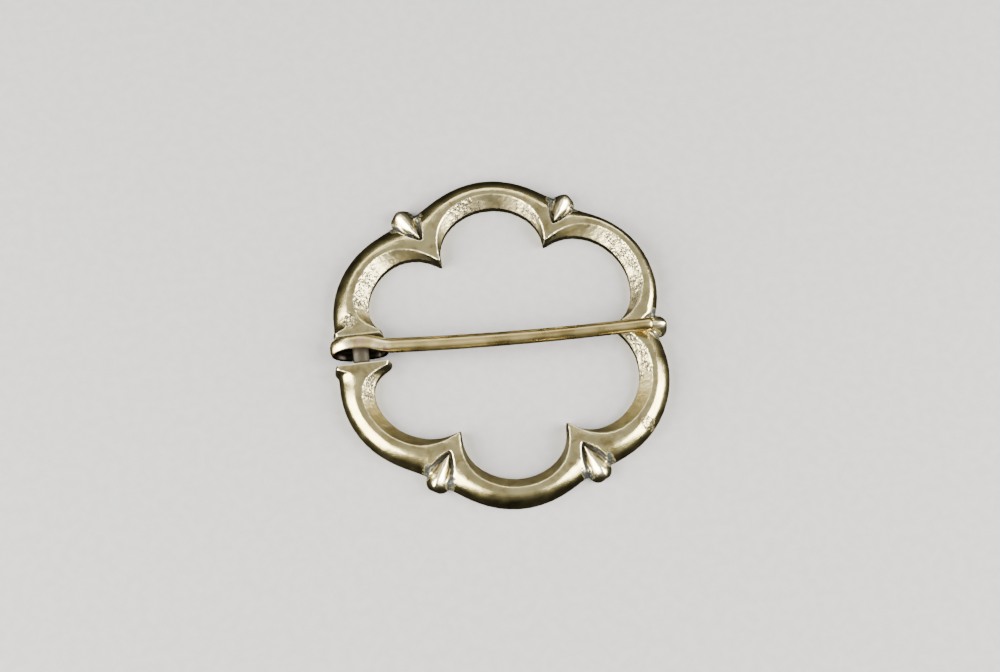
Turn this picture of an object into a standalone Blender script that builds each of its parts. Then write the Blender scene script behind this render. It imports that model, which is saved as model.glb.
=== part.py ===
"""A six-lobed ring brooch, cast in brass, lying on its flat back, with its pin across the front.

The middle of the ring is the origin, the back lies on z = 0 and the front faces +Z.
Angles run anticlockwise from +X. The pin is hinged at -X and its point rests at +X.
All sizes below are in millimetres, and MM turns them into metres when vertices are made.
"""

import math
from collections import namedtuple

import bmesh
import bpy
from mathutils import Matrix, Vector

MM = 0.001

# The ring: six arcs of one band, each about its own centre.
LOBE_DISTANCE = 9.05
OPENING_RADIUS = 6.75
BAND_WIDTH = 3.4
THICKNESS = 2.4

# Across the band: an upright inner wall, a flat inner bevel, the ridge, a rounded outer bevel and a low wall.
INNER_WALL = 1.1
INNER_BEVEL = 1.4
RIDGE_WIDTH = 0.75
OUTER_WALL = 0.85
RIDGE_CROWN = 0.05
BEVEL_ROUNDNESS = 1.6

# The thorns between the lobes: how far the ridge and the edge are drawn in.
TIP_BEVEL = 0.42
TIP_DROP = 0.3
TIP_BLUNTNESS = 0.15
THORN_LENGTH = 1.5
RIDGE_SWEEP = 1.9
FORK_SWEEP = 2.0
RIM_SWEEP = 1.4

# The knops, one outside each thorn, in a sunk pocket with a groove down each side.
KNOP_HEIGHT = 2.15
KNOP_END_HEIGHT = 0.95
KNOP_SHOULDER = 0.3
KNOP_KEEL = 1.7
KNOP_TAPER = 0.85
KNOP_BLUNTNESS = 2.5
GROOVE_WIDTH = 0.36
GROOVE_FLOOR = 1.4
POCKET_FLOOR = 0.85
POCKET_MOUTH = 1.2

# The notch at -X, with a flared collar on each side and a flat bar between them for the pin.
NOTCH_WIDTH = 3.2
NOTCH_CENTRE = 0.45
COLLAR_EDGE = 0.4
COLLAR_THICKNESS = 0.6
COLLAR_FLARE = 1.1
COLLAR_LIP = 0.35
RIDGE_DRAW = 0.8
RIDGE_DRAW_LENGTH = 2.4
BAR_OUTWARD = 0.08
BAR_WIDTH = 1.8
BAR_DEPTH = 1.1
BAR_TOP = 2.25
BAR_GRIP = 0.5

# The pin: a wire flattened and bent into a long loose eye, then a tapered shank.
PIN_GAP = 0.2
REST_GAP = 0.25
EYE_BEHIND = 3.4
EYE_AHEAD = 2.9
EYE_BEND = 2.3
STRAP_WIDTH = 1.55
STRAP_THICKNESS = 0.56
STRAP_OFFSET = 1.1
TAIL_OFFSET = 0.45
SHANK_ROOT = 1.68
SHANK_POINT = 1.5
SHANK_OVERHANG = -0.75
SHANK_ROOT_HEIGHT = 2.25
SHANK_ROOT_SIDE = 0.43
SHANK_POINT_SIDE = -0.68
SHANK_BOW = 0.3
POINT_ROUNDING = 0.5
TAIL_TURN = math.radians(100)

# The band's rails, from the opening outwards.
EDGE, RIDGE_IN, RIDGE_OUT, RIM = range(4)

# How finely the curves are divided.
LOBE_STEPS = 26
BEVEL_STEPS = 4
KNOP_STEPS = 12
KNOP_SIDES = 14
EYE_STEPS = 10
SHANK_STEPS = 12
NECK_STEPS = 6
POINT_STEPS = 3
WIRE_SIDES = 16

# The lobes were filed by hand. Each has the direction that its rim bulges in, how far its opening is turned
# from that, and how far its centre, opening, rim and inner bevel stray from the plan.
Lobe = namedtuple("Lobe", "angle turn centre opening rim bevel")
LOBES = (
    Lobe(angle=29.1, turn=1.1, centre=0.0, opening=0.35, rim=-0.25, bevel=0.05),
    Lobe(angle=90.4, turn=-0.7, centre=0.0, opening=-0.1, rim=-0.15, bevel=-0.15),
    Lobe(angle=152.2, turn=-1.6, centre=0.05, opening=-0.15, rim=0.2, bevel=0.2),
    Lobe(angle=203.8, turn=0.6, centre=-0.15, opening=0.0, rim=0.1, bevel=0.0),
    Lobe(angle=270.7, turn=0.9, centre=0.0, opening=0.1, rim=-0.15, bevel=-0.15),
    Lobe(angle=326.0, turn=2.4, centre=0.2, opening=0.0, rim=0.1, bevel=0.05),
)

# Between two lobes: the direction, and how far these stand out from where the plan's openings or rims cross:
# the thorn's tip from the openings, and from the rims the fork of the ridge, the crook of the rims and the
# knop's pointed root and round end. The tip also leans to its left, and each knop has its own half width.
Junction = namedtuple("Junction", "angle tip fork crook root end radius lean")
JUNCTIONS = (
    Junction(angle=-0.6, tip=-0.65, fork=-1.9, crook=-0.3, root=-1.5, end=1.45, radius=1.2, lean=0.3),
    Junction(angle=60.6, tip=-0.8, fork=-2.1, crook=0.95, root=-2.1, end=1.75, radius=1.32, lean=0.1),
    Junction(angle=121.8, tip=-1.8, fork=-2.3, crook=1.2, root=-2.1, end=2.3, radius=1.38, lean=-0.15),
    None,
    Junction(angle=239.9, tip=-1.5, fork=-2.7, crook=0.9, root=-2.5, end=1.7, radius=1.36, lean=0.0),
    Junction(angle=299.2, tip=-1.1, fork=-1.9, crook=1.15, root=-1.85, end=2.4, radius=1.34, lean=0.15),
)

# Either side of the notch, a collar reaches in from where the openings cross, and out towards the rim's reach.
Collar = namedtuple("Collar", "inside outside")
UPPER_COLLAR = Collar(inside=0.1, outside=-0.75)
LOWER_COLLAR = Collar(inside=-0.5, outside=-0.55)


def crossing(radius):
    """How far out two neighbouring circles of the plan cross, each centred on its lobe."""
    half_pitch = math.pi / len(LOBES)
    return LOBE_DISTANCE * math.cos(half_pitch) + math.sqrt(
        max(0.0, radius**2 - (LOBE_DISTANCE * math.sin(half_pitch)) ** 2)
    )


def opening_crossing():
    return crossing(OPENING_RADIUS)


def rim_crossing():
    return crossing(OPENING_RADIUS + BAND_WIDTH)


def rim_reach():
    return LOBE_DISTANCE + OPENING_RADIUS + BAND_WIDTH


def direction(degrees):
    return Vector((math.cos(math.radians(degrees)), math.sin(math.radians(degrees))))


def rail_centre(lobe, rail):
    """The centre of a rail's circle: the opening and its bevel are turned a little from the rim."""
    turn = lobe.turn if rail in (EDGE, RIDGE_IN) else 0
    return direction(lobe.angle + turn) * (LOBE_DISTANCE + lobe.centre)


def rail_radii(lobe):
    """The radii of the band's four rails: the opening's edge, both sides of the ridge, and the rim."""
    inner = OPENING_RADIUS + lobe.opening
    ridge = inner + INNER_BEVEL + lobe.bevel
    return inner, ridge, ridge + RIDGE_WIDTH, OPENING_RADIUS + BAND_WIDTH + lobe.rim


def meet_ray(centre, radius, angle):
    """Where a circle crosses the ray at that angle."""
    along = centre.dot(direction(angle))
    far = along + math.sqrt(max(0.0, along**2 - centre.length_squared + radius**2))
    return direction(angle) * far


def meet_notch(centre, radius, y):
    """Where a circle crosses a face of the notch."""
    return Vector((centre.x - math.sqrt(max(0.0, radius**2 - (y - centre.y) ** 2)), y))


def junction_ends(junction):
    """Where the four rails of both lobes meet on the ray between them."""
    out = direction(junction.angle)
    left = Vector((-out.y, out.x))
    tip = out * (opening_crossing() + junction.tip) + left * junction.lean
    fork = out * (rim_crossing() + junction.fork)
    crook = out * (rim_crossing() + junction.crook)
    return [tip, tip + out * TIP_BEVEL, fork, crook]


def collar_ends(collar, y):
    """Where the four rails end on a face of the notch."""
    inside = opening_crossing() + collar.inside
    outside = rim_reach() + collar.outside
    return [Vector((-far, y)) for far in (inside, inside + COLLAR_EDGE, outside - COLLAR_EDGE, outside)]


def lobe_ends(index):
    """For each end of a lobe: the rails' own ends on the circles, where they are drawn to, and how softly."""
    lobe = LOBES[index]
    circles = list(enumerate(rail_radii(lobe)))
    sides = []
    for number in (index, (index + 1) % len(LOBES)):
        junction = JUNCTIONS[number]
        if junction is None:
            side, collar = (1, UPPER_COLLAR) if index < number else (-1, LOWER_COLLAR)
            y = NOTCH_CENTRE + side * NOTCH_WIDTH / 2
            plain = [meet_notch(rail_centre(lobe, rail), radius, y) for rail, radius in circles]
            sweeps = (COLLAR_FLARE, COLLAR_FLARE, COLLAR_LIP, COLLAR_LIP)
            sides.append((plain, collar_ends(collar, y), sweeps, COLLAR_THICKNESS))
        else:
            plain = [meet_ray(rail_centre(lobe, rail), radius, junction.angle) for rail, radius in circles]
            sweeps = (THORN_LENGTH, RIDGE_SWEEP, FORK_SWEEP, RIM_SWEEP)
            sides.append((plain, junction_ends(junction), sweeps, TIP_BLUNTNESS))
    return sides


def angle_about(centre, point, near):
    """The point's angle about the centre, on the turn closest to the one given."""
    angle = math.atan2(point.y - centre.y, point.x - centre.x)
    while angle - near > math.pi:
        angle -= 2 * math.pi
    while near - angle > math.pi:
        angle += 2 * math.pi
    return angle


def rails(index, share):
    """The four rail points of a lobe at a share of its length, and how near a thorn's tip they are."""
    lobe = LOBES[index]
    near = math.radians(lobe.angle)
    start, end = lobe_ends(index)
    points = []
    for rail, radius in enumerate(rail_radii(lobe)):
        centre = rail_centre(lobe, rail)
        first = angle_about(centre, start[0][rail], near)
        last = angle_about(centre, end[0][rail], near)
        turn = first + (last - first) * share
        point = centre + Vector((math.cos(turn), math.sin(turn))) * radius
        for (plain, drawn, sweeps, blunt), away in ((start, share), (end, 1 - share)):
            distance = max(0.0, away * abs(last - first) * radius - blunt)
            pull = math.exp(-distance / sweeps[rail])
            point = point + (drawn[rail] - plain[rail]) * pull
            if rail == RIDGE_OUT and sweeps[rail] == COLLAR_LIP:
                draw = RIDGE_DRAW * math.exp(-((distance / RIDGE_DRAW_LENGTH) ** 2)) * (1 - pull)
                point = point + (centre - plain[rail]).normalized() * draw
        points.append(point)
    if share == 0:
        points = start[1]
    if share == 1:
        points = end[1]
    return points


def tip_nearness(index, share):
    """1 at a thorn's tip, 0 along the lobe and at the notch."""
    nearness = 0.0
    length = math.pi * OPENING_RADIUS * 0.8
    for number, away in ((index, share), ((index + 1) % len(LOBES), 1 - share)):
        if JUNCTIONS[number] is not None:
            nearness += math.exp(-away * length / THORN_LENGTH)
    return min(1.0, nearness)


def band_section(index, share):
    """The closed outline of the band, across it and up from its back."""
    edge, ridge_in, ridge_out, rim = rails(index, share)
    drop = TIP_DROP * tip_nearness(index, share)
    top = THICKNESS - drop

    def at(point, z):
        return Vector((point.x, point.y, z))

    section = [at(edge, 0), at(edge, INNER_WALL)]
    for step in range(1, BEVEL_STEPS):
        part = step / BEVEL_STEPS
        section.append(at(edge.lerp(ridge_in, part), INNER_WALL + (top - INNER_WALL) * part))
    section.append(at(ridge_in, top))
    section.append(at(ridge_in.lerp(ridge_out, 0.5), (top + THICKNESS) / 2 + RIDGE_CROWN))
    section.append(at(ridge_out, THICKNESS))
    for step in range(1, BEVEL_STEPS + 1):
        part = step / BEVEL_STEPS
        fall = (1 - part**BEVEL_ROUNDNESS) ** (1 / BEVEL_ROUNDNESS)
        section.append(at(ridge_out.lerp(rim, part), OUTER_WALL + (THICKNESS - OUTER_WALL) * fall))
    section.append(at(rim, 0))
    return section


def loft(name, sections, material):
    """One closed solid through a run of outlines with the same number of points, capped at both ends."""
    mesh = bmesh.new()
    loops = [[mesh.verts.new(point * MM) for point in section] for section in sections]
    count = len(loops[0])
    for here, there in zip(loops, loops[1:]):
        for k in range(count):
            mesh.faces.new((here[k], here[(k + 1) % count], there[(k + 1) % count], there[k]))
    mesh.faces.new(reversed(loops[0]))
    mesh.faces.new(loops[-1])
    bmesh.ops.recalc_face_normals(mesh, faces=mesh.faces)
    bmesh.ops.triangulate(mesh, faces=mesh.faces)
    data = bpy.data.meshes.new(name)
    mesh.to_mesh(data)
    mesh.free()
    data.materials.append(material)
    data.shade_smooth()
    data.set_sharp_from_angle(angle=math.radians(35))
    piece = bpy.data.objects.new(name, data)
    bpy.context.scene.collection.objects.link(piece)
    return piece


def make_band(material):
    """The band, from the notch right round to the notch again."""
    first = JUNCTIONS.index(None)
    sections = []
    for turn in range(len(LOBES)):
        index = (first + turn) % len(LOBES)
        for step in range(LOBE_STEPS + 1):
            if step == 0 and turn > 0:
                continue
            share = (1 - math.cos(math.pi * step / LOBE_STEPS)) / 2
            sections.append(band_section(index, share))
    return loft("ring", sections, material)


def knop_fall(along, length, radius):
    """1 up to the bud's widest place, then falling bluntly to 0 at its round end."""
    past = min(1.0, max(0.0, (along - length + radius) / radius))
    return (1 - past**KNOP_BLUNTNESS) ** (1 / KNOP_BLUNTNESS)


def knop_width(along, length, radius):
    """Half the width of the bud: pointed towards the ring, round at its far end."""
    widest = length - radius
    if along > widest:
        return radius * knop_fall(along, length, radius)
    return radius * math.sin(math.pi / 2 * along / widest) ** KNOP_TAPER


def place(junction, along, across, z):
    out = direction(junction.angle)
    return Vector((out.x * along - out.y * across, out.y * along + out.x * across, z))


def knop_steps(length):
    return [length * (1 - math.cos(math.pi * step / KNOP_STEPS)) / 2 for step in range(1, KNOP_STEPS)]


def make_knop(junction, number, material):
    """A bud with a soft keel, rising from the fork of the ridge and rounding off outside the ring."""
    inner = rim_crossing() + junction.root
    length = junction.end - junction.root
    sections = []
    for along in knop_steps(length):
        half = knop_width(along, length, junction.radius)
        top = KNOP_END_HEIGHT + (KNOP_HEIGHT - KNOP_END_HEIGHT) * knop_fall(along, length, junction.radius)
        section = [place(junction, inner + along, -half, 0)]
        for side in range(KNOP_SIDES + 1):
            across = math.cos(math.pi * side / KNOP_SIDES)
            keel = KNOP_SHOULDER + (1 - KNOP_SHOULDER) * (1 - abs(across) ** KNOP_KEEL)
            section.append(place(junction, inner + along, -half * across, top * keel))
        section.append(place(junction, inner + along, half, 0))
        sections.append(section)
    return loft(f"knop_{number}", sections, material)


def make_pocket(junction, number, material):
    """What is cut away round a knop, so that a groove runs down each side of it."""
    inner = rim_crossing() + junction.root - GROOVE_WIDTH
    length = junction.end - junction.root + 3 * GROOVE_WIDTH
    sections = []
    for along in knop_steps(length):
        half = knop_width(along, length, junction.radius + GROOVE_WIDTH)
        section = []
        for spread, z in ((POCKET_FLOOR, GROOVE_FLOOR), (POCKET_MOUTH, 2 * THICKNESS)):
            section.append(place(junction, inner + along, -half * spread, z))
        for spread, z in ((POCKET_MOUTH, 2 * THICKNESS), (POCKET_FLOOR, GROOVE_FLOOR)):
            section.append(place(junction, inner + along, half * spread, z))
        sections.append(section)
    return loft(f"pocket_{number}", sections, material)


def hinge_axis():
    """A point on the bar's middle line, which runs along Y, a little outwards of the collars' middle."""
    collars = (UPPER_COLLAR, LOWER_COLLAR)
    inside = opening_crossing() + sum(collar.inside for collar in collars) / 2
    outside = rim_reach() + sum(collar.outside for collar in collars) / 2
    return Vector((-(inside + outside) / 2 - BAR_OUTWARD, 0, BAR_TOP - BAR_DEPTH / 2))


def make_bar(material):
    """The flat bar between the collars that the pin's eye hangs on, with rounded sides."""
    axis = hinge_axis()
    sections = []
    reach = NOTCH_WIDTH / 2 + BAR_GRIP
    for y in (NOTCH_CENTRE - reach, NOTCH_CENTRE + reach):
        section = []
        for side in range(WIRE_SIDES):
            turn = 2 * math.pi * side / WIRE_SIDES
            x = axis.x + BAR_WIDTH / 2 * math.cos(turn)
            z = axis.z + BAR_DEPTH / 2 * math.sin(turn)
            section.append(Vector((x, y, z)))
        sections.append(section)
    return loft("bar", sections, material)


def combine(piece, other, operation):
    """Joins the other solid to the piece, or cuts it out, and leaves the other as a hidden guide."""
    boolean = piece.modifiers.new(other.name, "BOOLEAN")
    boolean.operation = operation
    boolean.solver = "EXACT"
    boolean.object = other
    other.hide_render = True
    other.display_type = "WIRE"


def make_ring(material):
    ring = make_band(material)
    knops = [(number, junction) for number, junction in enumerate(JUNCTIONS) if junction is not None]
    for number, junction in knops:
        combine(ring, make_pocket(junction, number, material), "DIFFERENCE")
    for number, junction in knops:
        combine(ring, make_knop(junction, number, material), "UNION")
    combine(ring, make_bar(material), "UNION")
    return ring


def smooth(share):
    return share * share * (3 - 2 * share)


def wire_section(centre, along, width, depth):
    """A round or flattened wire's outline, square to its run."""
    side = Vector((0, 1, 0))
    up = along.cross(side).normalized()
    side = up.cross(along).normalized()
    section = []
    for k in range(WIRE_SIDES):
        turn = 2 * math.pi * k / WIRE_SIDES
        section.append(centre + side * (width / 2 * math.cos(turn)) + up * (depth / 2 * math.sin(turn)))
    return section


def eye_run():
    """The flattened part: from the tail below the shank, under the bar, round the left end and over the bar."""
    axis = hinge_axis()
    half = BAR_WIDTH / 2 + PIN_GAP + STRAP_THICKNESS / 2
    behind = axis.x - EYE_BEHIND + STRAP_THICKNESS / 2 + EYE_BEND
    ahead = axis.x + EYE_AHEAD - half
    run = []
    for step in range(EYE_STEPS // 2, 0, -1):
        turn = TAIL_TURN * step / (EYE_STEPS // 2)
        run.append(Vector((ahead + half * math.sin(turn), TAIL_OFFSET, axis.z - half * math.cos(turn))))
    for step in range(EYE_STEPS + 1):
        turn = math.pi * step / EYE_STEPS
        offset = TAIL_OFFSET + (STRAP_OFFSET - TAIL_OFFSET) * smooth(step / EYE_STEPS)
        run.append(Vector((behind - EYE_BEND * math.sin(turn), offset, axis.z - half * math.cos(turn))))
    run.append(Vector((axis.x, STRAP_OFFSET, axis.z + half)))
    return run


def shank_run():
    """The round part, from the eye to just short of the point, bowed a little and resting over the ring."""
    axis = hinge_axis()
    root = Vector((axis.x + EYE_AHEAD + SHANK_ROOT / 2, SHANK_ROOT_SIDE, SHANK_ROOT_HEIGHT))
    point_height = THICKNESS + RIDGE_CROWN + REST_GAP + SHANK_POINT / 2
    point = Vector((rim_crossing() + SHANK_OVERHANG, SHANK_POINT_SIDE, point_height))
    run = []
    for step in range(SHANK_STEPS + 1):
        share = step / SHANK_STEPS
        bow = Vector((0, -4 * SHANK_BOW * share * (1 - share), 0))
        run.append((root.lerp(point, share) + bow, SHANK_ROOT + (SHANK_POINT - SHANK_ROOT) * share))
    return run


def make_pin(material):
    """One wire: the eye, a short neck where the flat turns round, the shank and its rounded point."""
    run = [(centre, STRAP_WIDTH, STRAP_THICKNESS) for centre in eye_run()]
    shank = shank_run()
    over, root = run[-1][0], shank[0][0]
    for step in range(1, NECK_STEPS):
        share = step / NECK_STEPS
        centre = over.lerp(root, share)
        centre.y = over.y + (root.y - over.y) * smooth(share)
        centre.z = over.z + (root.z - over.z) * smooth(share)
        width = STRAP_WIDTH + (SHANK_ROOT - STRAP_WIDTH) * smooth(share)
        depth = STRAP_THICKNESS + (SHANK_ROOT - STRAP_THICKNESS) * smooth(share) ** 2
        run.append((centre, width, depth))
    run += [(centre, width, width) for centre, width in shank]
    sections = []
    for k, (centre, width, depth) in enumerate(run):
        before = run[max(0, k - 1)][0]
        after = run[min(len(run) - 1, k + 1)][0]
        sections.append(wire_section(centre, (after - before).normalized(), width, depth))
    end, width, _ = run[-1]
    along = (end - run[-2][0]).normalized()
    for step in range(1, POINT_STEPS + 1):
        turn = math.pi / 2 * step / (POINT_STEPS + 1)
        centre = end + along * (POINT_ROUNDING * math.sin(turn))
        sections.append(wire_section(centre, along, width * math.cos(turn), width * math.cos(turn)))
    axis = hinge_axis()
    pin = loft("pin", sections, material)
    pin.data.transform(Matrix.Translation(-axis * MM))
    pin.location = axis * MM
    return pin


def brass(name, colour, roughness):
    material = bpy.data.materials.new(name)
    material.use_nodes = True
    shader = material.node_tree.nodes["Principled BSDF"]
    shader.inputs["Base Color"].default_value = colour
    shader.inputs["Metallic"].default_value = 1.0
    shader.inputs["Roughness"].default_value = roughness
    material.diffuse_color = colour
    return material


def main():
    for thing in list(bpy.data.objects):
        bpy.data.objects.remove(thing)
    make_ring(brass("cast_brass", (0.60, 0.50, 0.28, 1.0), 0.35))
    make_pin(brass("brass_wire", (0.42, 0.31, 0.12, 1.0), 0.4))


main()
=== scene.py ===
"""
Looks for the lobed brooch: a cast brass ring of six lobes and a loose wire pin.

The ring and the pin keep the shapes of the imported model. Each gets a finer piece in its place, with the soft
edges, casting pits and drawn lines of the old metal, and a material of its own. Sizes here are in millimetres
until MM turns them into metres.
"""

import math

import bpy
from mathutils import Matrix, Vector, noise


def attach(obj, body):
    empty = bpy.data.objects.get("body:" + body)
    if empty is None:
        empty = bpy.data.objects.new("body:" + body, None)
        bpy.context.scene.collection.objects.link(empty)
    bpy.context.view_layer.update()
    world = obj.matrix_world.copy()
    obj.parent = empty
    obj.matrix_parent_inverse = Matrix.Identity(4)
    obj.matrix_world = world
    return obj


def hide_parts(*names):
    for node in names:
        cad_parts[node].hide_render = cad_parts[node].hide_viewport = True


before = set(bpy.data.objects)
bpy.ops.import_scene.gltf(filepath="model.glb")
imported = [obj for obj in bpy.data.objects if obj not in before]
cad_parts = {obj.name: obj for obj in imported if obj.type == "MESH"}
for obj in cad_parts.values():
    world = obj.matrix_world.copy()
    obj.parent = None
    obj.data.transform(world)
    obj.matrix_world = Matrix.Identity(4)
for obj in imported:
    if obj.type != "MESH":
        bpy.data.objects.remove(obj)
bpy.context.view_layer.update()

MM = 0.001

# The pieces are worked a hundred times larger, because the remesh has no voxel under a tenth of a millimetre.
# UNIT is one millimetre of the real piece at that size.
WORK = 100
UNIT = MM * WORK

# The plan of the ring, as the model has it: six lobes about the middle, and the knops between them.
LOBE_DISTANCE = 9.05
LOBE_ANGLES = (29.9, 89.7, 151.5, 204.4, 271.3, 326.8)
OPENING_RADIUS = 6.75
INNER_BEVEL = 1.4

# Each knop: its direction in degrees, where its pointed root and its round end are, and its half width.
KNOPS = (
    (-0.6, 15.4, 18.3, 1.2),
    (60.6, 14.8, 18.6, 1.32),
    (121.8, 14.8, 19.2, 1.38),
    (239.9, 14.4, 18.6, 1.36),
    (299.2, 15.0, 19.3, 1.34),
)

# The notch that the pin hinges in: its middle and width along Y, where it begins along X, and the height
# of its bar.
NOTCH_CENTRE = 0.45
NOTCH_WIDTH = 3.2
NOTCH_SIDE = -11.5
BAR_Z = 1.7


# Tools for the making

# Points closer together than this, in millimetres, become one, and a lighter weight than this is none.
MERGE_DISTANCE = 0.002
LEAST_WEIGHT = 0.004

# How much one smoothing stroke takes, and the number of strong ones that wash a hollow out.
SOFT_STROKE = 0.5
STRONG_STROKE = 0.8
HOLLOW_REACH = 45


def select_only(piece):
    bpy.ops.object.select_all(action="DESELECT")
    piece.select_set(True)
    bpy.context.view_layer.objects.active = piece


def fine_copy(solid, name):
    """A piece of its own with the solid's mesh, its loose triangles merged, at the size it is worked at."""
    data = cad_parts[solid].data.copy()
    data.materials.clear()
    piece = bpy.data.objects.new(name, data)
    bpy.context.scene.collection.objects.link(piece)
    select_only(piece)
    bpy.ops.object.mode_set(mode="EDIT")
    bpy.ops.mesh.select_all(action="SELECT")
    bpy.ops.mesh.remove_doubles(threshold=MERGE_DISTANCE * MM)
    bpy.ops.object.mode_set(mode="OBJECT")
    rescale(piece, WORK)
    return piece


def rescale(piece, factor):
    select_only(piece)
    piece.scale = (factor, factor, factor)
    bpy.ops.object.transform_apply(location=False, rotation=False, scale=True)


def finish_modifier(piece, modifier):
    select_only(piece)
    bpy.ops.object.modifier_apply(modifier=modifier.name)


def remesh_fine(piece, voxel):
    """Gives the piece an even skin of small faces, their size in millimetres."""
    remesh = piece.modifiers.new("voxels", "REMESH")
    remesh.mode = "VOXEL"
    remesh.voxel_size = voxel * UNIT
    finish_modifier(piece, remesh)


def even_out(piece, factor, strokes, group=""):
    """Smooths the piece, or only the part of it that a vertex group marks."""
    smoothing = piece.modifiers.new("even out", "SMOOTH")
    smoothing.factor = factor
    smoothing.iterations = strokes
    smoothing.vertex_group = group
    finish_modifier(piece, smoothing)


def add_group(piece, name, weights):
    group = piece.vertex_groups.new(name=name)
    for index, weight in enumerate(weights):
        if weight > LEAST_WEIGHT:
            group.add([index], weight, "REPLACE")


def add_displace(piece, name, kind, relief, group="", middle=0.5):
    """Moves the surface in and out by a pattern. Relief is the pattern's size and depth in millimetres."""
    size, depth = relief
    texture = bpy.data.textures.new(name, kind)
    texture.noise_scale = size * UNIT
    displace = piece.modifiers.new(name, "DISPLACE")
    displace.texture = texture
    displace.texture_coords = "LOCAL"
    displace.strength = depth * UNIT
    displace.mid_level = middle
    displace.vertex_group = group
    finish_modifier(piece, displace)


def shade_round(piece):
    """Smooth shading, in which the wide flat faces keep their own direction."""
    select_only(piece)
    bpy.ops.object.shade_smooth()
    finish_modifier(piece, piece.modifiers.new("flat faces first", "WEIGHTED_NORMAL"))


def store(piece, name, values):
    """Keeps one number for each point of the mesh, for the material to read."""
    piece.data.attributes.new(name, "FLOAT", "POINT").data.foreach_set("value", values)


def places(piece):
    """The places of the mesh's points, at the size the piece has now."""
    return [vertex.co.copy() for vertex in piece.data.vertices]


def facings(piece):
    """The direction that the surface faces at each point."""
    return [vertex.normal.copy() for vertex in piece.data.vertices]


def spots_of(piece):
    """The places of the mesh's points in millimetres of the real piece."""
    return [place / UNIT for place in places(piece)]


def ease(value, low, high):
    """0 below low, 1 above high, and a smooth slope between them."""
    share = min(1.0, max(0.0, (value - low) / (high - low)))
    return share * share * (3 - 2 * share)


def direction(degrees):
    """The way, one long and in plan, at an angle from +X."""
    return Vector((math.cos(math.radians(degrees)), math.sin(math.radians(degrees)), 0))


def hollows(piece):
    """How deep each point lies in a hollow, in millimetres, and less than nothing where it stands proud."""
    soft = piece.copy()
    soft.data = piece.data.copy()
    bpy.context.scene.collection.objects.link(soft)
    even_out(soft, STRONG_STROKE, HOLLOW_REACH)
    evened = places(soft)
    bpy.data.objects.remove(soft, do_unlink=True)
    return [
        (new - old).dot(normal) / UNIT
        for old, new, normal in zip(places(piece), evened, facings(piece))
    ]


# The ring, as fine as the casting

RING_VOXEL = 0.1
RING_TRIANGLES = 188000

# How many strokes soften the edges, and file the forks of the ridge and the outside.
EDGE_SOFTENING = 3
FORK_FILING = 200
OUTSIDE_FILING = 40

# Relief of the casting: the size of its pattern and its depth. Where the pits' pattern is at its middle, the
# surface stays where it is.
FILED_WAVES = (2.6, 0.045)
HANDLING_DENTS = (0.9, 0.018)
SKIN_GRAIN = (0.32, 0.05)
PITS = (0.36, 0.17)
PITS_MIDDLE = 0.42

# Where the casting skin is pitted, on the inner bevels: the place and its reach.
PITTED = (
    (-14.6, 7.4, 2.9),
    (-2.6, 15.7, 2.4),
    (4.9, 14.0, 1.5),
    (14.6, 8.4, 3.2),
    (15.4, 4.0, 2.2),
    (14.6, -3.6, 3.2),
    (-15.1, -3.8, 1.8),
)

# Small clusters of pits outside the ridge.
OUTER_PITTED = (
    (-16.65, 3.86, 0.9),
    (14.6, -11.5, 0.8),
)

# The pits stay above this height, and their clusters are about a millimetre across.
PITTED_FROM = 0.8
CLUSTERS_PER_MM = 1.1

# Further than this to the side of a knop, nothing is sheltered by it.
KNOP_NEAR = 3

LOBE_CENTRES = [direction(angle) * LOBE_DISTANCE for angle in LOBE_ANGLES]
KNOPS_OUT = [(direction(angle), root, end, radius) for angle, root, end, radius in KNOPS]


def lobe_centre_near(spot):
    return min(LOBE_CENTRES, key=lambda centre: (centre.x - spot.x) ** 2 + (centre.y - spot.y) ** 2)


def away_from_lobe(spot):
    """The way, in plan, from the middle of the nearest lobe."""
    return Vector((spot.x, spot.y, 0)) - lobe_centre_near(spot)


def from_knop(spot, out):
    """How far out a point lies in a knop's direction, and how far to the side of its middle line."""
    return spot.x * out.x + spot.y * out.y, abs(spot.y * out.x - spot.x * out.y)


def knop_half_width(along, root, end, radius):
    """Half the width of a knop, from its pointed root to its round end."""
    widest = end - radius
    if along >= widest:
        return radius
    return radius * math.sin(math.pi / 2 * ease(along, root, widest))


def beyond_notch(spot):
    """How far a point lies beyond the side faces of the notch, and less than nothing inside it."""
    return abs(spot.y - NOTCH_CENTRE) - NOTCH_WIDTH / 2


def inner_bevel_share(spot, normal):
    """1 on the sloping face that looks into an opening, 0 elsewhere."""
    away = away_from_lobe(spot)
    ridge = OPENING_RADIUS + INNER_BEVEL
    inward = -normal.dot(away.normalized())
    slope = ease(inward, 0.25, 0.5) * ease(normal.z, 0.15, 0.4)
    return slope * (1 - ease(away.length, ridge, ridge + 0.6))


def outer_bevel_share(spot, normal):
    """1 on the rounded face that falls from the ridge to the rim, 0 on the ridge and inside."""
    outward = normal.dot(away_from_lobe(spot).normalized())
    return ease(outward, 0.14, 0.4) * ease(spot.z, 0.5, 1.2)


def plain_outer_share(spot, normal):
    """1 on the outer bevel away from the knops and the collars, which is filed into one even round."""
    for out, root, _, radius in KNOPS_OUT:
        along, across = from_knop(spot, out)
        if along > root - 0.8 and across < radius + 0.6:
            return 0.0
    share = outer_bevel_share(spot, normal)
    if spot.x < NOTCH_SIDE:
        share *= ease(beyond_notch(spot), 1.0, 1.5)
    return share


def fork_share(spot, normal):
    """1 on the flat fork of the ridge round a knop's root, which is filed into one smooth surface."""
    share = 0.0
    for out, root, _, _ in KNOPS_OUT:
        away = (Vector((spot.x, spot.y, 0)) - out * (root - 0.7)).length
        share = max(share, 1 - ease(away, 1.6, 2.5))
    return share * ease(normal.z, 0.86, 0.93) * ease(spot.z, 1.8, 2.0)


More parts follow.
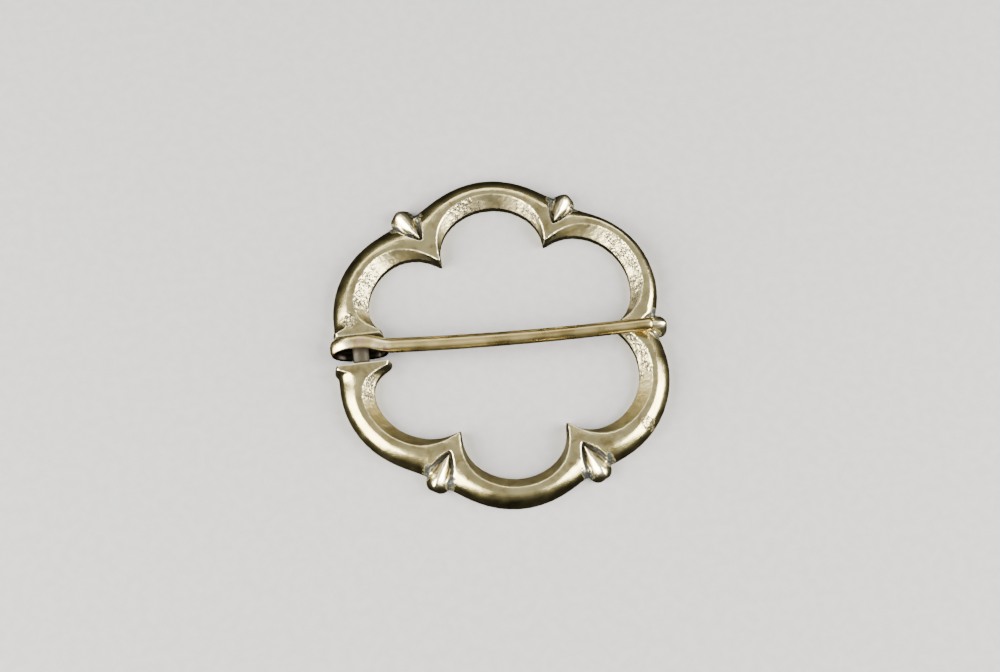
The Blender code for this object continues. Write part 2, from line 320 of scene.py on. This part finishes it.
def knop_shelter(spot, normal):
    """1 in the grooves and webs beside a knop, where no hand rubs."""
    share = 0.0
    for out, root, end, radius in KNOPS_OUT:
        along, across = from_knop(spot, out)
        if not root - 1 < along < end or across > KNOP_NEAR:
            continue
        half = knop_half_width(along, root, end, radius)
        beside = 1 - ease(abs(across - half - 0.12), 0.25, 0.75)
        reach = ease(along, root - 0.5, root + 0.2) * (1 - ease(along, end - 1.1, end - 0.4))
        low = 1 - ease(spot.z, 1.75, 2.25)
        share = max(share, beside * reach * low)
    return share * ease(normal.z, -0.2, 0.1)


def knop_wear_and_highlight(spot, normal):
    """1 on the proud upward faces of the knops, which every hand and cloth has rubbed. Their pale colour is
    partly that wear and partly a painted highlight.
    """
    share = 0.0
    for out, root, end, radius in KNOPS_OUT:
        along, across = from_knop(spot, out)
        if root < along < end + 0.3:
            half = knop_half_width(along, root, end, radius)
            share = max(share, 1 - ease(across, half * 0.7, half * 1.05 + 0.02))
    return share * ease(spot.z, 1.3, 1.9) * ease(normal.z, 0.1, 0.4)


def eye_crust_and_shade(spot):
    """1 on the bar and on the faces of the notch, under the pin's eye, which get a dark brown crust and
    painted shade.
    """
    if spot.x > NOTCH_SIDE:
        return 0.0
    return 1 - ease(beyond_notch(spot), -0.05, 0.18)


def patch_share(spot, patches):
    """1 in the middle of a patch of pits, 0 well outside its reach."""
    share = 0.0
    for x, y, reach in patches:
        away = math.hypot(spot.x - x, spot.y - y)
        share = max(share, 1 - ease(away, 0.55 * reach, 1.25 * reach))
    return share


def pitted_share(spot, bevel):
    """The pits gather in uneven clusters on the inner bevels, most of them towards the ridge."""
    if spot.z < PITTED_FROM:
        return 0.0
    radius = away_from_lobe(spot).length
    towards_ridge = 0.55 + 0.45 * ease(radius, OPENING_RADIUS + 0.3, OPENING_RADIUS + 1.1)
    cluster = ease(noise.noise(spot * CLUSTERS_PER_MM), -0.5, 0.1)
    inner = patch_share(spot, PITTED) * bevel * towards_ridge
    outer = patch_share(spot, OUTER_PITTED) * 0.8
    return max(inner, outer) * cluster


def file_smooth(piece, name, weights, strokes):
    """Evens out the part of the surface that the weights mark, as a file does."""
    add_group(piece, name, weights)
    even_out(piece, STRONG_STROKE, strokes, name)


def pushed_in(before, after, normals):
    """How far each point went inwards, in millimetres, and 0 where it went outwards."""
    moves = [new - old for old, new in zip(before, after)]
    return [move.length / UNIT if move.dot(normal) < 0 else 0 for move, normal in zip(moves, normals)]


def make_cast_ring():
    ring = fine_copy("ring", "cast_ring")
    remesh_fine(ring, RING_VOXEL)
    even_out(ring, SOFT_STROKE, EDGE_SOFTENING)

    spots = spots_of(ring)
    normals = facings(ring)
    points = list(zip(spots, normals))
    bevel = [inner_bevel_share(*point) for point in points]
    pitted = [pitted_share(spot, share) for spot, share in zip(spots, bevel)]
    file_smooth(ring, "forks", [fork_share(*point) for point in points], FORK_FILING)
    file_smooth(ring, "outside", [plain_outer_share(*point) for point in points], OUTSIDE_FILING)
    store(ring, "bevel", bevel)
    store(ring, "pitted", pitted)
    store(ring, "shelter", [knop_shelter(*point) for point in points])
    # Where the crust and painted shade under the pin's eye go.
    store(ring, "hinge", [eye_crust_and_shade(spot) for spot in spots])
    # Where the outer bevels get their painted shade.
    store(ring, "outer", [outer_bevel_share(*point) for point in points])
    # The knops' pale wear and painted highlight.
    store(ring, "rubbed", [knop_wear_and_highlight(*point) for point in points])
    store(ring, "hollow", hollows(ring))

    add_group(ring, "worked by hand", [ease(spot.z, 0.4, 1.2) for spot in spots])
    add_group(ring, "casting skin", bevel)
    add_group(ring, "pitted skin", pitted)
    add_displace(ring, "filed waves", "CLOUDS", FILED_WAVES, "worked by hand")
    add_displace(ring, "handling dents", "CLOUDS", HANDLING_DENTS, "worked by hand")
    add_displace(ring, "skin grain", "CLOUDS", SKIN_GRAIN, "casting skin")
    before = places(ring)
    add_displace(ring, "pits", "VORONOI", PITS, "pitted skin", PITS_MIDDLE)
    store(ring, "pit", pushed_in(before, places(ring), normals))
    ring.vertex_groups.clear()

    triangles = sum(len(face.vertices) - 2 for face in ring.data.polygons)
    thin = ring.modifiers.new("thin out", "DECIMATE")
    thin.ratio = min(1.0, RING_TRIANGLES / triangles)
    finish_modifier(ring, thin)
    rescale(ring, 1 / WORK)
    shade_round(ring)
    return ring


# The pin, one drawn wire

PIN_VOXEL = 0.07

# How often the wire's faces are divided, and how many strokes even its skin.
PIN_ROUNDING = 2
PIN_EVENING = 8

# Relief of the wire: the size of its pattern and its depth.
DRAWING_MARKS = (0.8, 0.012)

# The eye: where it ends along X, and the middles of its two turns.
EYE_END = -12.2
EYE_TURNS = (-16.6, -14.6)

# Patches on the front of the pin, painted highlights and stains: the place and its reach. Their edges wander
# by a quarter of a millimetre at most.
HIGHLIGHT_PATCHES = ((-17.3, 0.7, 1.2), (-13.4, 0.4, 1.3))
STAINED_PATCHES = ((-15.7, 1.0, 0.5), (-12.95, -0.3, 0.6))
PATCH_WANDER = 0.25
WANDERS_PER_MM = 2.5


def eye_tarnish_and_shade(spot, normal):
    """1 inside the eye and under it, where the wire is never rubbed: dark oxide, and painted shade where the
    eye and its lower strap lie in shadow.
    """
    if spot.x > EYE_END:
        return 0.0
    outer_turn, inner_turn = EYE_TURNS
    middle = Vector((min(max(spot.x, outer_turn), inner_turn), spot.y, BAR_Z))
    inner = ease(normal.dot((middle - spot).normalized()), -0.3, 0.2)
    low = 1 - ease(spot.z, 0.9, 1.9)
    return max(inner, low)


def pin_patch(spot, patches):
    """1 in the middle of a patch on the pin's front, both for the painted highlight patches and for the
    stains.
    """
    share = 0.0
    for x, y, reach in patches:
        away = math.hypot(spot.x - x, spot.y - y) + PATCH_WANDER * noise.noise(spot * WANDERS_PER_MM)
        share = max(share, 1 - ease(away, 0.4 * reach, reach))
    return share * ease(spot.z, BAR_Z, BAR_Z + 1)


def make_wire_pin():
    pin = fine_copy("pin", "wire_pin")
    round_off = pin.modifiers.new("round off", "SUBSURF")
    round_off.levels = PIN_ROUNDING
    round_off.render_levels = PIN_ROUNDING
    finish_modifier(pin, round_off)
    remesh_fine(pin, PIN_VOXEL)
    even_out(pin, SOFT_STROKE, PIN_EVENING)

    spots = spots_of(pin)
    # Oxide inside the eye and painted shade under it.
    store(pin, "tarnish", [eye_tarnish_and_shade(spot, normal) for spot, normal in zip(spots, facings(pin))])
    # Painted highlight patches on the eye.
    store(pin, "rubbed", [pin_patch(spot, HIGHLIGHT_PATCHES) for spot in spots])
    store(pin, "stained", [pin_patch(spot, STAINED_PATCHES) for spot in spots])
    add_displace(pin, "drawing marks", "CLOUDS", DRAWING_MARKS)
    store(pin, "hollow", hollows(pin))
    rescale(pin, 1 / WORK)
    bpy.ops.object.shade_smooth()
    return pin


# Materials

# A pattern's scale is how many of its spots there are to a metre: so many to a millimetre, times this.
PER_MM = 1 / MM

# Sockets of a Mix node for colours: how much of the second colour, the two colours, and what comes out.
AMOUNT, FIRST, SECOND, MIXED = 0, 6, 7, 2

# Sockets of a Math node: the value, what it is multiplied by or set against, what is added, and the result.
VALUE, OTHER, PLUS, RESULT = 0, 1, 2, 0


def linear(code):
    """A hex colour as seen on screen, turned into the linear values that the shaders take."""
    parts = [int(code[k : k + 2], 16) / 255 for k in (1, 3, 5)]
    return [part / 12.92 if part <= 0.04045 else ((part + 0.055) / 1.055) ** 2.4 for part in parts] + [1.0]


def grey(value):
    return (value, value, value, 1)


def node(material, kind, settings=None, links=None):
    """Adds a node: settings name its own properties, its sockets or the stops of its ramp, and links join
    other nodes' outputs to its sockets."""
    tree = material.node_tree
    made = tree.nodes.new(kind)
    for key, value in (settings or {}).items():
        if key == "stops":
            elements = made.color_ramp.elements
            while len(elements) < len(value):
                elements.new(0.5)
            for element, (position, colour) in zip(elements, value):
                element.position = position
                element.color = colour
        elif isinstance(key, str) and hasattr(made, key):
            setattr(made, key, value)
        else:
            made.inputs[key].default_value = value
    for key, source in (links or {}).items():
        tree.links.new(source, made.inputs[key])
    return made


def blank_material(name):
    """A new material with no nodes yet."""
    material = bpy.data.materials.new(name)
    material.use_nodes = True
    material.node_tree.nodes.clear()
    return material


def cast_brass():
    """Yellow cast brass, centuries old: smooth on the ridge, with a painted highlight on its proud edges and
    on the worn knops, raw and pitted on the inner bevels, with a dark oxide left in the hollows that no hand
    reaches, and painted shade on the outer bevels and under the pin's eye."""
    brass = blank_material("old cast brass")
    place = node(brass, "ShaderNodeTexCoord").outputs["Object"]
    bevel, pitted, pit, hollow, shelter, hinge, outer, rubbed = (
        node(brass, "ShaderNodeAttribute", {"attribute_name": name}).outputs["Fac"]
        for name in ("bevel", "pitted", "pit", "hollow", "shelter", "hinge", "outer", "rubbed")
    )

    # Broad drifts of tone, 5 mm across, and stains of 1 mm.
    drift = node(
        brass,
        "ShaderNodeTexNoise",
        {"Scale": 0.2 * PER_MM, "Detail": 3},
        {"Vector": place},
    ).outputs["Fac"]
    stain = node(
        brass,
        "ShaderNodeTexNoise",
        {"Scale": 1.0 * PER_MM, "Detail": 5},
        {"Vector": place},
    ).outputs["Fac"]
    metal = node(
        brass,
        "ShaderNodeValToRGB",
        {"stops": ((0.3, linear("#c4b67e")), (0.7, linear("#d6c993")))},
        {"Fac": drift},
    ).outputs["Color"]
    dull = node(
        brass,
        "ShaderNodeValToRGB",
        {"stops": ((0.48, grey(0)), (0.74, grey(1)))},
        {"Fac": stain},
    ).outputs["Color"]
    brown = node(
        brass,
        "ShaderNodeMix",
        {"data_type": "RGBA", SECOND: linear("#a8925c")},
        {AMOUNT: dull, FIRST: metal},
    ).outputs[MIXED]

    # The outer bevels get a painted shade of olive brown, which stands in for the dark that they reflect.
    outer_shade_amount = node(
        brass,
        "ShaderNodeMath",
        {"operation": "MULTIPLY", OTHER: 0.6},
        {VALUE: outer},
    ).outputs[RESULT]
    olive_shaded = node(
        brass,
        "ShaderNodeMix",
        {"data_type": "RGBA", SECOND: linear("#a89a5f")},
        {AMOUNT: outer_shade_amount, FIRST: brown},
    ).outputs[MIXED]

    # The inner bevels were never filed, and keep the dull skin of the casting.
    unfiled = node(
        brass,
        "ShaderNodeMath",
        {"operation": "MULTIPLY", OTHER: 0.5},
        {VALUE: bevel},
    ).outputs[RESULT]
    skinned = node(
        brass,
        "ShaderNodeMix",
        {"data_type": "RGBA", SECOND: linear("#9c9474")},
        {AMOUNT: unfiled, FIRST: olive_shaded},
    ).outputs[MIXED]

    # Edges that stand proud get a painted highlight of pale cream, and the knops a pale cream that is partly
    # wear and partly painted highlight.
    painted_edge_highlight = node(
        brass,
        "ShaderNodeMapRange",
        {"From Min": -0.025, "From Max": -0.08, "To Max": 0.85},
        {"Value": hollow},
    ).outputs["Result"]
    pale_wear_and_highlight = node(
        brass,
        "ShaderNodeMath",
        {"operation": "MAXIMUM"},
        {VALUE: rubbed, OTHER: painted_edge_highlight},
    ).outputs[RESULT]
    worn_and_highlit = node(
        brass,
        "ShaderNodeMix",
        {"data_type": "RGBA", SECOND: linear("#ecdfae")},
        {AMOUNT: pale_wear_and_highlight, FIRST: skinned},
    ).outputs[MIXED]

    # Black specks in the pitted skin, about six to a millimetre.
    speck = node(
        brass,
        "ShaderNodeTexNoise",
        {"Scale": 5.8 * PER_MM, "Detail": 4},
        {"Vector": place},
    ).outputs["Fac"]
    specks = node(
        brass,
        "ShaderNodeValToRGB",
        {"stops": ((0.47, grey(0)), (0.54, grey(1)))},
        {"Fac": speck},
    ).outputs["Color"]
    eaten = node(
        brass,
        "ShaderNodeMapRange",
        {"From Min": 0.06, "From Max": 0.4},
        {"Value": pitted},
    ).outputs["Result"]
    in_skin = node(
        brass,
        "ShaderNodeMath",
        {"operation": "MULTIPLY"},
        {VALUE: specks, OTHER: eaten},
    ).outputs[RESULT]
    deep = node(
        brass,
        "ShaderNodeMapRange",
        {"From Min": 0.012, "From Max": 0.05},
        {"Value": pit},
    ).outputs["Result"]
    dark_pits = node(
        brass,
        "ShaderNodeMath",
        {"operation": "MAXIMUM"},
        {VALUE: in_skin, OTHER: deep},
    ).outputs[RESULT]

    # Oxide where the surface lies in a hollow, its edge broken up by the stains.
    edge = node(
        brass,
        "ShaderNodeMath",
        {"operation": "MULTIPLY_ADD", OTHER: 0.05, PLUS: -0.025},
        {VALUE: stain},
    ).outputs[RESULT]
    broken = node(
        brass,
        "ShaderNodeMath",
        {"operation": "ADD"},
        {VALUE: hollow, OTHER: edge},
    ).outputs[RESULT]
    oxide_and_shade = node(
        brass,
        "ShaderNodeMapRange",
        {"From Min": 0.05, "From Max": 0.13},
        {"Value": broken},
    ).outputs["Result"]
    black = node(
        brass,
        "ShaderNodeMath",
        {"operation": "MAXIMUM"},
        {VALUE: oxide_and_shade, OTHER: dark_pits},
    ).outputs[RESULT]

    # Slate grey tarnish in the sheltered places, in flakes of about 0.4 mm.
    patchy = node(
        brass,
        "ShaderNodeTexNoise",
        {"Scale": 2.6 * PER_MM, "Detail": 4},
        {"Vector": place},
    ).outputs["Fac"]
    kept = node(
        brass,
        "ShaderNodeMath",
        {"operation": "MULTIPLY_ADD", OTHER: 4.5, PLUS: -1.35},
        {VALUE: patchy},
    ).outputs[RESULT]
    cover = node(
        brass,
        "ShaderNodeMath",
        {"operation": "MULTIPLY"},
        {VALUE: shelter, OTHER: kept},
    ).outputs[RESULT]
    tarnish = node(
        brass,
        "ShaderNodeMapRange",
        {"From Min": 0.3, "From Max": 0.75},
        {"Value": cover},
    ).outputs["Result"]
    slate = node(
        brass,
        "ShaderNodeValToRGB",
        {"stops": ((0.42, linear("#0f1315")), (0.6, linear("#2b302f")))},
        {"Fac": patchy},
    ).outputs["Color"]
    dulled = node(
        brass,
        "ShaderNodeMix",
        {"data_type": "RGBA"},
        {AMOUNT: tarnish, FIRST: worn_and_highlit, SECOND: slate},
    ).outputs[MIXED]
    blackened = node(
        brass,
        "ShaderNodeMix",
        {"data_type": "RGBA", SECOND: linear("#24201a")},
        {AMOUNT: black, FIRST: dulled},
    ).outputs[MIXED]

    # A brown crust and painted shade under the pin's eye, on the bar and in the notch.
    colour = node(
        brass,
        "ShaderNodeMix",
        {"data_type": "RGBA", SECOND: linear("#2a2312")},
        {AMOUNT: hinge, FIRST: blackened},
    ).outputs[MIXED]

    # Oxide, tarnish, and the crust and painted shade under the eye hide most of the metal.
    crust_and_shade = node(
        brass,
        "ShaderNodeMath",
        {"operation": "MAXIMUM"},
        {VALUE: tarnish, OTHER: hinge},
    ).outputs[RESULT]
    dark = node(
        brass,
        "ShaderNodeMath",
        {"operation": "MAXIMUM"},
        {VALUE: black, OTHER: crust_and_shade},
    ).outputs[RESULT]
    metallic = node(
        brass,
        "ShaderNodeMath",
        {"operation": "MULTIPLY_ADD", OTHER: -0.6, PLUS: 1.0},
        {VALUE: dark},
    ).outputs[RESULT]

    # Handling has polished the metal unevenly. The raw bevels, the rubbed knops and the oxide are rougher.
    rub = node(
        brass,
        "ShaderNodeTexNoise",
        {"Scale": 0.6 * PER_MM, "Detail": 6},
        {"Vector": place},
    ).outputs["Fac"]
    polished = node(
        brass,
        "ShaderNodeMapRange",
        {"From Min": 0.3, "From Max": 0.7, "To Min": 0.17, "To Max": 0.27},
        {"Value": rub},
    ).outputs["Result"]
    raw = node(
        brass,
        "ShaderNodeMath",
        {"operation": "MULTIPLY_ADD", OTHER: 0.13},
        {VALUE: bevel, PLUS: polished},
    ).outputs[RESULT]
    handled = node(
        brass,
        "ShaderNodeMath",
        {"operation": "MULTIPLY_ADD", OTHER: 0.07},
        {VALUE: rubbed, PLUS: raw},
    ).outputs[RESULT]
    rough = node(
        brass,
        "ShaderNodeMath",
        {"operation": "MULTIPLY_ADD", OTHER: 0.3},
        {VALUE: dark, PLUS: handled},
    ).outputs[RESULT]

    # Fine grain of 0.1 mm, stronger on the raw bevels.
    grain = node(
        brass,
        "ShaderNodeTexNoise",
        {"Scale": 9.0 * PER_MM, "Detail": 3},
        {"Vector": place},
    ).outputs["Fac"]
    strength = node(
        brass,
        "ShaderNodeMath",
        {"operation": "MULTIPLY_ADD", OTHER: 0.5, PLUS: 0.12},
        {VALUE: bevel},
    ).outputs[RESULT]
    bump = node(
        brass,
        "ShaderNodeBump",
        {"Distance": 0.02 * MM},
        {"Strength": strength, "Height": grain},
    ).outputs["Normal"]

    shader = node(
        brass,
        "ShaderNodeBsdfPrincipled",
        links={"Base Color": colour, "Metallic": metallic, "Roughness": rough, "Normal": bump},
    )
    node(brass, "ShaderNodeOutputMaterial", links={"Surface": shader.outputs["BSDF"]})
    return brass


def drawn_wire():
    """Brass wire, browner than the ring: drawn lines run along it, and its eye has painted highlights in
    places.
    """
    wire = blank_material("old drawn brass wire")
    place = node(wire, "ShaderNodeTexCoord").outputs["Object"]
    hollow, rubbed, stained, tarnish = (
        node(wire, "ShaderNodeAttribute", {"attribute_name": name}).outputs["Fac"]
        for name in ("hollow", "rubbed", "stained", "tarnish")
    )

    # Lines 0.2 mm apart, drawn out along the wire.
    long_way = node(
        wire,
        "ShaderNodeMapping",
        {"Scale": (0.06, 1, 1)},
        {"Vector": place},
    ).outputs["Vector"]
    lines = node(
        wire,
        "ShaderNodeTexNoise",
        {"Scale": 4.5 * PER_MM, "Detail": 3},
        {"Vector": long_way},
    ).outputs["Fac"]
    line_tone = node(
        wire,
        "ShaderNodeValToRGB",
        {"stops": ((0.35, grey(0.6)), (0.65, grey(1)))},
        {"Fac": lines},
    ).outputs["Color"]

    # Drifts of tone, 3 mm across.
    drift = node(
        wire,
        "ShaderNodeTexNoise",
        {"Scale": 0.35 * PER_MM, "Detail": 4},
        {"Vector": place},
    ).outputs["Fac"]
    metal = node(
        wire,
        "ShaderNodeValToRGB",
        {"stops": ((0.3, linear("#a8945c")), (0.55, linear("#bfac74")), (0.75, linear("#b09862")))},
        {"Fac": drift},
    ).outputs["Color"]
    lined = node(
        wire,
        "ShaderNodeMix",
        {"data_type": "RGBA", "blend_type": "MULTIPLY", AMOUNT: 0.35},
        {FIRST: metal, SECOND: line_tone},
    ).outputs[MIXED]

    # Painted highlight patches on the eye, and its two pinkish stains.
    highlit_patch = node(
        wire,
        "ShaderNodeMix",
        {"data_type": "RGBA", SECOND: linear("#f3e2ac")},
        {AMOUNT: rubbed, FIRST: lined},
    ).outputs[MIXED]
    spotted = node(
        wire,
        "ShaderNodeMix",
        {"data_type": "RGBA", SECOND: linear("#c4a184")},
        {AMOUNT: stained, FIRST: highlit_patch},
    ).outputs[MIXED]

    # Dark oxide in the hollows and inside the eye, and painted shade under the eye.
    pooled = node(
        wire,
        "ShaderNodeMapRange",
        {"From Min": 0.07, "From Max": 0.14},
        {"Value": hollow},
    ).outputs["Result"]
    oxide_and_shade = node(
        wire,
        "ShaderNodeMath",
        {"operation": "MAXIMUM"},
        {VALUE: pooled, OTHER: tarnish},
    ).outputs[RESULT]
    colour = node(
        wire,
        "ShaderNodeMix",
        {"data_type": "RGBA", SECOND: linear("#211d17")},
        {AMOUNT: oxide_and_shade, FIRST: spotted},
    ).outputs[MIXED]

    rough = node(
        wire,
        "ShaderNodeMapRange",
        {"From Min": 0.3, "From Max": 0.7, "To Min": 0.24, "To Max": 0.36},
        {"Value": drift},
    ).outputs["Result"]
    bump = node(
        wire,
        "ShaderNodeBump",
        {"Strength": 0.12, "Distance": 0.02 * MM},
        {"Height": lines},
    ).outputs["Normal"]
    shader = node(
        wire,
        "ShaderNodeBsdfPrincipled",
        {"Metallic": 1.0},
        {"Base Color": colour, "Roughness": rough, "Normal": bump},
    )
    node(wire, "ShaderNodeOutputMaterial", links={"Surface": shader.outputs["BSDF"]})
    return wire


# The pieces on their bodies

ring = make_cast_ring()
ring.data.materials.append(cast_brass())
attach(ring, "ring")
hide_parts("ring")

pin = make_wire_pin()
pin.data.materials.append(drawn_wire())
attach(pin, "pin")
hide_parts("pin")


# The stage: a pale floor, softboxes low on both sides and a weak one on the far side

# The floor's width, in metres.
FLOOR_SIZE = 4

# The camera stands where the photograph's did: its height and turn in degrees, and its distance in
# millimetres.
CAMERA_ELEVATION = 72.31
CAMERA_TURN = 6.59
CAMERA_DISTANCE = 260.7
CAMERA_LENS = 84.5
CAMERA_SENSOR = 36
CAMERA_SHIFT = (-0.0024, 0.0074)
CAMERA_NEAR = 10


def add_floor():
    bpy.ops.object.select_all(action="DESELECT")
    bpy.ops.mesh.primitive_plane_add(size=FLOOR_SIZE)
    floor = bpy.context.object
    floor.name = "floor"
    paper = blank_material("matt paper")
    place = node(paper, "ShaderNodeTexCoord").outputs["Object"]
    tooth = node(
        paper,
        "ShaderNodeTexNoise",
        {"Scale": 0.9 * PER_MM, "Detail": 4},
        {"Vector": place},
    ).outputs["Fac"]
    shade = node(
        paper,
        "ShaderNodeValToRGB",
        {"stops": ((0.4, linear("#888684")), (0.6, linear("#8c8a88")))},
        {"Fac": tooth},
    ).outputs["Color"]
    shader = node(
        paper,
        "ShaderNodeBsdfPrincipled",
        {"Roughness": 0.9, "Specular IOR Level": 0.2},
        {"Base Color": shade},
    )
    node(paper, "ShaderNodeOutputMaterial", links={"Surface": shader.outputs["BSDF"]})
    floor.data.materials.append(paper)
    floor.visible_glossy = False


def add_world():
    """Pale to the camera, dim to everything else, and dark below the floor's level."""
    world = bpy.data.worlds.new("studio")
    bpy.context.scene.world = world
    world.use_nodes = True
    world.node_tree.nodes.clear()
    place = node(world, "ShaderNodeTexCoord").outputs["Generated"]
    height = node(world, "ShaderNodeSeparateXYZ", links={"Vector": place}).outputs["Z"]
    shade = node(
        world,
        "ShaderNodeValToRGB",
        {"stops": ((0.0, grey(0.02)), (0.1, grey(0.05)), (0.6, grey(0.14)), (0.9, grey(0.5)))},
        {"Fac": height},
    ).outputs["Color"]
    sky = node(world, "ShaderNodeBackground", {"Strength": 1.0}, {"Color": shade})
    wall = node(world, "ShaderNodeBackground", {"Color": linear("#d8d6d2"), "Strength": 0.8})
    seen = node(world, "ShaderNodeLightPath").outputs["Is Camera Ray"]
    both = node(world, "ShaderNodeMixShader", links={0: seen, 1: sky.outputs[0], 2: wall.outputs[0]})
    node(world, "ShaderNodeOutputWorld", links={"Surface": both.outputs[0]})


def add_softbox(name, azimuth, elevation, distance, width, height, power):
    """A softbox that looks at the brooch, its place given by angles from +X and a distance."""
    flat = direction(azimuth) * math.cos(math.radians(elevation))
    place = (flat + Vector((0, 0, math.sin(math.radians(elevation))))) * distance * MM
    bpy.ops.object.light_add(type="AREA", location=place)
    lamp = bpy.context.object
    lamp.name = name
    lamp.rotation_euler = place.to_track_quat("Z", "Y").to_euler()
    lamp.data.shape = "RECTANGLE"
    lamp.data.size = width * MM
    lamp.data.size_y = height * MM
    lamp.data.energy = power


def add_camera():
    elevation = math.radians(CAMERA_ELEVATION)
    turn = math.radians(CAMERA_TURN)
    flat = CAMERA_DISTANCE * math.cos(elevation)
    place = Vector((-flat * math.sin(turn), -flat * math.cos(turn), CAMERA_DISTANCE * math.sin(elevation)))
    bpy.ops.object.camera_add(location=place * MM, rotation=(math.pi / 2 - elevation, 0, -turn))
    camera = bpy.context.object
    camera.data.lens = CAMERA_LENS
    camera.data.sensor_width = CAMERA_SENSOR
    camera.data.shift_x, camera.data.shift_y = CAMERA_SHIFT
    camera.data.clip_start = CAMERA_NEAR * MM
    bpy.context.scene.camera = camera


add_floor()
add_world()
add_softbox("left", azimuth=193, elevation=31, distance=300, width=300, height=310, power=7.2)
add_softbox("right", azimuth=-15, elevation=31, distance=300, width=280, height=310, power=6.8)
add_softbox("far side", azimuth=95, elevation=50, distance=300, width=320, height=60, power=0.3)
add_camera()
